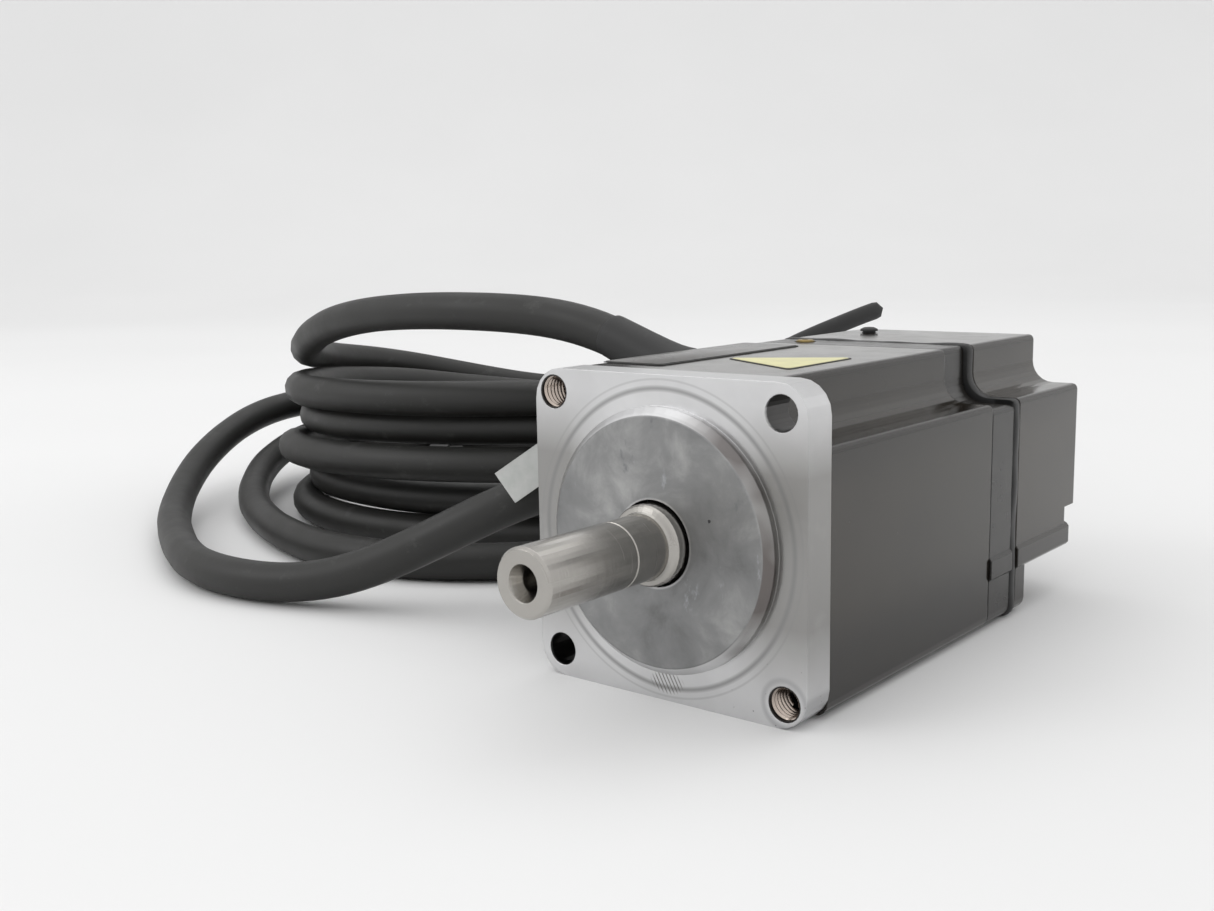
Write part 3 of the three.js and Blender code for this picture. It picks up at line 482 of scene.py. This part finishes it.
ENCODER = [
    (-37.8, 93, 3), (-37.8, 82, 3), (-37.8, 70.4, 3), (-38.3, 60, 3), (-41.5, 49, 2.6), (-48, 38.5, 1.2), (-56, 29.5, -1.5),
    (-65, 22, -6), (-75.5, 16, -12), (-87, 10.5, -18), (-99, 5, -22.8), (-112, 0, -24.8), (-127, -3, -25.1),
    (-143, -1.5, -25.1), (-159, 4.5, -25.1), (-176, 13.5, -25.1), (-193, 23.5, -24.8), (-209, 35, -23.2), (-224, 48.5, -20),
    (-237, 64, -15), (-246, 82, -9), (-252, 101, -5), (-254, 121, -3.5), (-251, 141, -4), (-244.5, 159.5, -6.2), (-234.5, 176.5, -10),
    on_coil(143, 95.4, -14), on_coil(B, 95.2, -19.6), on_coil(115, 95.2, -23.6), on_coil(98, 95.2, -25.1), on_coil(75, 95.4, -25.1), on_coil(52, 95.6, -25.1),
    (-63, 184.6, -25.1), (-54.5, 167, -25.1), (-50.5, 148, -25.1), (-49.5, 128, -25.1), (-51.5, 109, -25.1), (-57, 90, -25.1),
    (-67, 69, -25.1), (-80.5, 50.5, -25.1), (-96, 38, -25.1), (-114, 31, -25.1), (-134, 29.5, -25.1), (-155, 34.5, -25.1),
    (-177, 43.5, -25.1), (-199, 55.5, -24.4), (-218, 70.5, -22), (-234, 89, -18.5), (-244, 110, -15.2), (-248, 133, -14),
    on_coil(167, 98.4, -18), on_coil(152, 93, -22.4), on_coil(137, 87, -24.8), on_coil(120, 85, -25.1), on_coil(85, 84.8, -25.1), on_coil(R, 84.4, -25.1), on_coil(0, 82.4, -25.1), on_coil(-30, 80.4, -25.1),
    on_coil(F, 80, -25.1), on_coil(-85, 80.4, -25.1), on_coil(-115, 81, -25.1), on_coil(L, 80, -25.1), on_coil(-165, 77.6, -25.1), on_coil(-190, 75.4, -25.1), on_coil(B - 360, 75, -25.1),
    on_coil(90 - 360, 74.8, -25.1), on_coil(R - 360, 74.5, -25.1), on_coil(10 - 360, 73.4, -23.4), on_coil(-8 - 360, 73, -21), on_coil(-28 - 360, 75, -17), on_coil(F - 360, 76.5, -16.2), on_coil(-80 - 360, 76.5, -16.3),
    on_coil(-115 - 360, 75.6, -17), on_coil(L - 360, 74.8, -18), on_coil(-165 - 360, 75, -17), on_coil(-190 - 360, 75.2, -16), on_coil(B - 720, 75.2, -15.6), on_coil(90 - 720, 75.2, -15.6),
    on_coil(62 - 720, 75.4, -15.6), on_coil(R - 720, 75.6, -15.6), on_coil(16 - 720, 74, -15.6), on_coil(-6 - 720, 70, -16.4), on_coil(-28 - 720, 66, -18.2), (-103, 89, -20), (-115, 81, -22), (-129, 77.5, -24), (-143, 79.5, -25),
    (-155, 86.5, -24.6), (-163.5, 96.5, -22.4), (-165.6, 99, -22.2)]
power, power_len = cord_curve("power_cable_jacket", POWER, 4.75, "cable")
encoder, encoder_len = cord_curve("encoder_cable_jacket", ENCODER, 4.75, "cable")
print("LENGTHS", power_len, encoder_len)
for o, nodes in ((power, ["power_cable", "power_cable_coil", "power_cable_end"]),
                 (encoder, ["encoder_cable", "encoder_cable_loop", "encoder_cable_coil", "encoder_cable_end"])):
    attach(o, "motor")
    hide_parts(*nodes)

# ------------------------------------------------------- looks of CAD nodes
WEAR = {
    "front_bracket": "alu", "rotor_shaft": "shaft", "stator_housing": "body", "rear_bracket": "bracket", "encoder_cover": "cover",
    "grease_plug": "brass", "balance_ring": "brass", "oil_seal": "rubber", "cover_vent_plug": "boot", "power_gland_plate": "boot",
    "power_strain_relief": "boot", "encoder_strain_relief": "boot", "coil_strap": "strap", "encoder_gland_block": "plastic", "power_connector": "plastic",
    "encoder_connector": "plastic", "encoder_reader": "plastic", "stator_core": "lam", "rotor_core": "lam", "rotor_magnet_ring": "magnet",
    "front_end_winding": "copper", "rear_end_winding": "copper", "encoder_board": "board", "board_connector": "white", "marker_card": "white",
    "encoder_disc": "glass", "marker_sleeve": "clear", "nameplate": "plate", "caution_label": "yellow", "cover_gasket": "rubber",
    "thread_insert_1": "insert", "thread_insert_2": "insert", "power_cable": "cable", "encoder_cable": "cable", "encoder_cable_loop": "cable",
    "power_cable_end": "cable", "encoder_cable_end": "cable", "power_cable_coil": "cable", "encoder_cable_coil": "cable",
}
for name, o in NODES.items():
    look = WEAR.get(name)
    if look is None:
        look = "brass" if "standoff" in name else "zinc" if "screw" in name else "steel"
    wear(o, look)
    smooth(o)


# ----------------------------------------------------------- detailed pieces
def new_object(name, verts, faces, look, body="motor", smooth_angle=40):
    me = bpy.data.meshes.new(name)
    me.from_pydata([tuple(row(v)) for v in verts], [], faces)
    bm = bmesh.new()
    bm.from_mesh(me)
    bmesh.ops.remove_doubles(bm, verts=bm.verts, dist=1e-6)
    bmesh.ops.recalc_face_normals(bm, faces=bm.faces)
    bm.to_mesh(me)
    bm.free()
    o = bpy.data.objects.new(name, me)
    SCENE.collection.objects.link(o)
    me.materials.append(LOOK[look])
    smooth(o, smooth_angle)
    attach(o, body)
    return o


def thread(name, cx, cz, node):
    """the insert's wound wire: a coarse bright thread in a bore painted dark as shade"""
    verts, faces = [], []
    n, pitch, y0, y1 = 36, 1.0, 0.05, 6.6
    turns = (y1 - y0 - 0.9) / pitch
    total = int(n * turns)
    prof = [(2.94, -0.34), (2.94, 0.34), (2.60, 0.10), (2.54, 0.0), (2.60, -0.10)]
    for i in range(total + 1):
        t = 2 * math.pi * i / n
        y = y0 + 0.45 + pitch * i / n
        for r, d in prof:
            verts.append((cx + r * math.cos(t), y + d, cz + r * math.sin(t)))
    k = len(prof)
    for i in range(total):
        for j in range(k):
            a, b = i * k + j, i * k + (j + 1) % k
            faces.append((a, b, b + k, a + k))
    faces.append(tuple(range(k)))
    faces.append(tuple(total * k + j for j in range(k)))
    m_ = len(verts)
    for r, y in ((2.95, 0.1), (3.2, 0.1), (3.2, 7.3), (2.95, 7.3)):
        for i in range(n):
            t = 2 * math.pi * i / n
            verts.append((cx + r * math.cos(t), y, cz + r * math.sin(t)))
    first_bore = len(faces)
    for q in range(4):
        q2 = (q + 1) % 4
        for i in range(n):
            j = (i + 1) % n
            faces.append((m_ + q * n + i, m_ + q * n + j, m_ + q2 * n + j, m_ + q2 * n + i))
    o = new_object(name, verts, faces, "insert")
    # the bore wall and the large faces get the painted shade material
    o.data.materials.append(LOOK["bore"])
    for p in o.data.polygons:
        c = sum((o.data.vertices[v].co for v in p.vertices), Vector()) / len(p.vertices)
        rr = math.hypot(c.x / MM - cx, (c.z / MM - 30) - cz)
        if rr > 2.945 or p.area > 3e-7:
            p.material_index = 1
    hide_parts(node)
    return o


thread("threaded_insert_upper_left", -25.5, 25.5, "thread_insert_1")
thread("threaded_insert_lower_right", 25.5, -25.5, "thread_insert_2")


def gasket():
    """soft seal squeezed out in waves between the rear bracket and the cover"""
    b = 29.4
    w, d, r, er = 10.9, 11.1, 5.0, 1.2
    path = []

    def arc(cx, cz, rad, a0, a1, n):
        for i in range(n + 1):
            t = math.radians(a0 + (a1 - a0) * i / n)
            path.append((cx + rad * math.cos(t), cz + rad * math.sin(t)))

    arc(b - 2.6, -b + 2.6, 2.6, -90, 0, 6)
    arc(b - er, b - d - er, er, 0, 90, 5)
    arc(b - w + r, b - d + r, r, 270, 180, 9)
    arc(b - w - er, b - er, er, 0, 90, 5)
    arc(-b + 2.6, b - 2.6, 2.6, 90, 180, 6)
    arc(-b + er, -b + d + er, er, 180, 270, 5)
    arc(-b + w - r, -b + d - r, r, 90, 0, 9)
    arc(-b + w + er, -b + er, er, 180, 270, 5)
    # resample the outline evenly
    pts = [Vector(p) for p in path]
    pts.append(pts[0].copy())
    out, acc, gap = [pts[0]], 0.0, 0.8
    for a, c in zip(pts, pts[1:]):
        seg = (c - a).length
        if seg < 1e-9:
            continue
        u = gap - acc
        while u <= seg:
            out.append(a + (c - a) * (u / seg))
            u += gap
        acc = seg - (u - gap)
    if (out[-1] - out[0]).length < gap * 0.6:
        out.pop()
    n = len(out)
    verts, faces = [], []
    ring_n = 10
    for i, p in enumerate(out):
        t = (out[(i + 1) % n] - out[i - 1]).normalized()
        nx, nz = t.y, -t.x
        s = i * gap
        wave = 0.5 + 0.5 * math.sin(s * 0.31 + 1.3) * math.cos(s * 0.13)
        low = max(0.0, min(1.0, (-14 - p.y) / 8)) if p.x > 20 else 0.0
        half = 1.32 + 0.12 * wave
        bulge = 0.15 + 0.45 * wave + 0.15 * low
        for k in range(ring_n + 1):
            a = math.pi * (k / ring_n - 0.5)
            off = bulge * math.cos(a) - 0.15
            y = 87.25 + half * math.sin(a)
            verts.append((p.x + nx * off, y, p.y + nz * off))
        verts.append((p.x - nx * 2.2, 87.25 + half, p.y - nz * 2.2))
        verts.append((p.x - nx * 2.2, 87.25 - half, p.y - nz * 2.2))
    k = ring_n + 3
    for i in range(n):
        j = (i + 1) % n
        for q in range(k):
            q2 = (q + 1) % k
            faces.append((i * k + q, i * k + q2, j * k + q2, j * k + q))
    o = new_object("squeezed_gasket", verts, faces, "rubber")
    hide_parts("cover_gasket")


gasket()


def sticker(name, corners, z0, z1, round_, look, node, rim=None):
    """thin printed film with rounded corners and a darker rim"""
    c = [Vector(p) for p in corners]
    n = len(c)

    def outline(inset):
        mid = sum(c, Vector((0, 0))) / n
        out = []
        for i in range(n):
            a, b, d = c[i - 1], c[i], c[(i + 1) % n]
            u, v = (a - b).normalized(), (d - b).normalized()
            bis = (u + v).normalized()
            half = math.acos(max(-1, min(1, u.dot(v)))) / 2
            centre = b + bis * ((round_ + inset) / math.sin(half))
            p0 = b + u * (centre - b).dot(u)
            p1 = b + v * (centre - b).dot(v)
            q0, q1 = (p0 - centre).normalized() * round_, (p1 - centre).normalized() * round_
            for k in range(6):
                w_ = q0.lerp(q1, k / 5).normalized() * round_
                out.append(centre + w_)
        return out

    made = []
    for label, inset, top, lk in ((name + "_rim", 0.0, z0 + (z1 - z0) * 0.5, rim or look), (name, 0.35 if rim else 0.0, z1, look)):
        if label.endswith("_rim") and not rim:
            continue
        ring_ = outline(inset)
        m_ = len(ring_)
        bottom = z0 if label.endswith("_rim") or not rim else z0 + (z1 - z0) * 0.5
        verts = [(p.x, p.y, bottom) for p in ring_] + [(p.x, p.y, top - 0.03) for p in ring_]
        inner = outline(inset + 0.04)
        verts += [(p.x, p.y, top) for p in inner]
        faces = [tuple(reversed(range(m_))), tuple(range(2 * m_, 3 * m_))]
        for k in range(2):
            for i in range(m_):
                j = (i + 1) % m_
                faces.append((k * m_ + i, k * m_ + j, (k + 1) * m_ + j, (k + 1) * m_ + i))
        o = new_object(label, verts, faces, lk)
        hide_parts(node)
        made.append(o)
    return made


def lathe_between(name, profile, start, direction, look, n=40, body="motor"):
    d = Vector(direction).normalized()
    q = Vector((0, 0, 1)).rotation_difference(d)
    verts, faces = [], []
    for r, s in profile:
        for i in range(n):
            t = 2 * math.pi * i / n
            v = q @ Vector((r * math.cos(t), r * math.sin(t), s)) + Vector(start)
            verts.append(tuple(v))
    k = len(profile)
    for a in range(k):
        b = (a + 1) % k
        for i in range(n):
            j = (i + 1) % n
            faces.append((a * n + i, a * n + j, b * n + j, b * n + i))
    return new_object(name, verts, faces, look, body, 50)


a22 = math.radians(22)
boot = lathe_between("power_boot", [(4.76, -1.5), (6.6, -1.5), (6.7, -0.5), (6.6, 1.6), (6.2, 3.2), (5.8, 5.5), (5.5, 9), (5.3, 14), (5.15, 19), (5.05, 22.5), (4.95, 23.6), (4.76, 23.9)],
                     (-31.6, 52, 22.89), (-math.cos(a22), 0, math.sin(a22)), "boot")
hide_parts("power_strain_relief")


def strap():
    """soft strap: a band round the bundle and a thick loose end with a round tip"""
    t = math.radians(72)
    ux, uy = math.cos(t), math.sin(t)

    def at(r, s, z):
        return (C[0] + r * ux - s * uy, C[1] + r * uy + s * ux, z)

    # band: rounded rectangle section swept round the bundle
    path = []
    for r, z, a0 in ((84.5, -24.6, -90), (84.5, -0.6, 0), (75.6, -0.6, 90), (75.6, -24.6, 180)):
        for k in range(9):
            a = math.radians(a0 + 90 * k / 8)
            path.append((r + 5.25 * math.cos(a), z + 5.25 * math.sin(a)))
    verts, faces = [], []
    sect = [(-3.3, 0.0), (-3.3, 0.7), (-2.9, 1.05), (2.9, 1.05), (3.3, 0.7), (3.3, 0.0)]
    n = len(path)
    for i, (r, z) in enumerate(path):
        pr, pz = path[i - 1]
        nr, nz = path[(i + 1) % n]
        dx, dz = nr - pr, nz - pz
        l_ = math.hypot(dx, dz)
        ox, oz = dz / l_, -dx / l_
        for s, h in sect:
            verts.append(at(r + ox * h * (0.25 if z < -28 else 1), s, z + oz * h * (0.25 if z < -28 else 1)))
    k = len(sect)
    for i in range(n):
        j = (i + 1) % n
        for q in range(k):
            faces.append((i * k + q, i * k + (q + 1) % k, j * k + (q + 1) % k, j * k + q))
    band = new_object("coil_strap_band", verts, faces, "strap")
    # loose end
    ctrl = [at(79, 0, 5.6), at(84, 0.3, 6.8), (-119.6, 224, 9.4), (-117.2, 231, 12.8), (-111, 238, 16.8), (-103.1, 245.4, 21.0), (-96.5, 251.4, 24.4), (-91.4, 256, 26.6)]
    line = spline_through(ctrl, 1.6)
    verts, faces = [], []
    m_ = 16
    side = Vector((0.55, 0.835, 0)).cross(Vector((0, 0, 1)))
    for i, p in enumerate(line):
        d = (line[min(i + 1, len(line) - 1)] - line[max(i - 1, 0)]).normalized()
        e = d.cross(Vector((cr.x, cr.y, 0)).cross(Vector((0, 0, 1)))).normalized()
        if e.z < 0:
            e = -e
        f = e.cross(d).normalized()
        u = i / (len(line) - 1)
        end = min(1.0, math.sqrt(max(0.0, 1 - max(0.0, (u - 0.93) / 0.07) ** 2)) + 0.02)
        grow = min(1.0, 0.55 + u * 2.2)
        for q in range(m_):
            a = 2 * math.pi * q / m_
            verts.append(tuple(p + e * (3.15 * end * grow * math.cos(a)) + f * (1.9 * end * math.sin(a))))
    for i in range(len(line) - 1):
        for q in range(m_):
            q2 = (q + 1) % m_
            faces.append((i * m_ + q, i * m_ + q2, (i + 1) * m_ + q2, (i + 1) * m_ + q))
    faces.append(tuple(reversed(range(m_))))
    faces.append(tuple((len(line) - 1) * m_ + q for q in range(m_)))
    tail = new_object("coil_strap_loose_end", verts, faces, "strap")
    for o in (band, tail):
        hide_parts("coil_strap")
    return [band, tail]


STRAP = strap()

sticker("yellow_triangle", [(11.9, 23.1), (-10.8, 36.4), (11.4, 48.6)], 29.42, 29.62, 0.8, "yellow", "caution_label", rim="edge")
sticker("blank_nameplate", [(-28.2, 17.7), (-13.4, 17.7), (-13.4, 69), (-28.2, 69)], 29.42, 29.72, 0.9, "plate", "nameplate", rim="edge")

# -------------------------------------------------------------------- stage
def cyclorama():
    """a pale sweep: floor, curved rise and back wall"""
    ahead = Vector((-back.x, -back.y, 0)).normalized()
    side = Vector((cr.x, cr.y, 0)).normalized()
    prof = [(-2.0, 0.0), (-0.6, 0.0), (0.0, 0.0), (0.6, 0.0), (1.3, 0.0)]
    for k in range(1, 17):
        t = math.pi / 2 * k / 16
        prof.append((1.3 + 1.2 * math.sin(t), 1.2 - 1.2 * math.cos(t)))
    prof.append((2.5, 3.0))
    bm = bmesh.new()
    rows = []
    for d, z in prof:
        rows.append([bm.verts.new(Vector((0, 0, 0)) + ahead * d + side * s + Vector((0, 0, z))) for s in (-3.0, -1.0, 1.0, 3.0)])
    for a, b in zip(rows, rows[1:]):
        for i in range(3):
            bm.faces.new((a[i], a[i + 1], b[i + 1], b[i]))
    me = bpy.data.meshes.new("studio_sweep")
    bm.normal_update()
    bm.to_mesh(me)
    bm.free()
    o = bpy.data.objects.new("studio_sweep", me)
    SCENE.collection.objects.link(o)
    m = Mat("pale_sweep", (0.73, 0.73, 0.73), 0.85)
    m.color(m.mix(m.level(m.noise(3, 2), 0.3, 0.7), (0.79, 0.79, 0.79), (0.81, 0.81, 0.81)))
    me.materials.append(m.m)
    for p in me.polygons:
        p.use_smooth = True


cyclorama()


def area(name, loc, target, size, power_, color=(1, 1, 1), size_y=None):
    l = bpy.data.lights.new(name, "AREA")
    l.energy = power_
    l.color = color
    l.shape = "RECTANGLE"
    l.size = size
    l.size_y = size_y or size
    o = bpy.data.objects.new(name, l)
    SCENE.collection.objects.link(o)
    o.location = loc
    o.rotation_euler = (Vector(target) - Vector(loc)).to_track_quat("-Z", "Y").to_euler()
    return o


world = bpy.data.worlds.new("studio")
SCENE.world = world
world.use_nodes = True
wt = world.node_tree
bg = wt.nodes["Background"]
bg.inputs[1].default_value = 0.95
tex = wt.nodes.new("ShaderNodeTexCoord")
sep = wt.nodes.new("ShaderNodeSeparateXYZ")
wt.links.new(tex.outputs["Generated"], sep.inputs[0])
sky = wt.nodes.new("ShaderNodeMapRange")
for k, v in zip(("From Min", "From Max", "To Min", "To Max"), (0.0, 0.6, 0.90, 1.05)):
    sky.inputs[k].default_value = v
wt.links.new(sep.outputs["Z"], sky.inputs["Value"])
wt.links.new(sky.outputs["Result"], bg.inputs[0])
area("top", (-0.25, 0.35, 1.4), (-0.05, 0.05, 0), 1.6, 4)
area("front_left", (-0.8, -1.0, 0.9), (0, 0, 0.03), 0.7, 3)
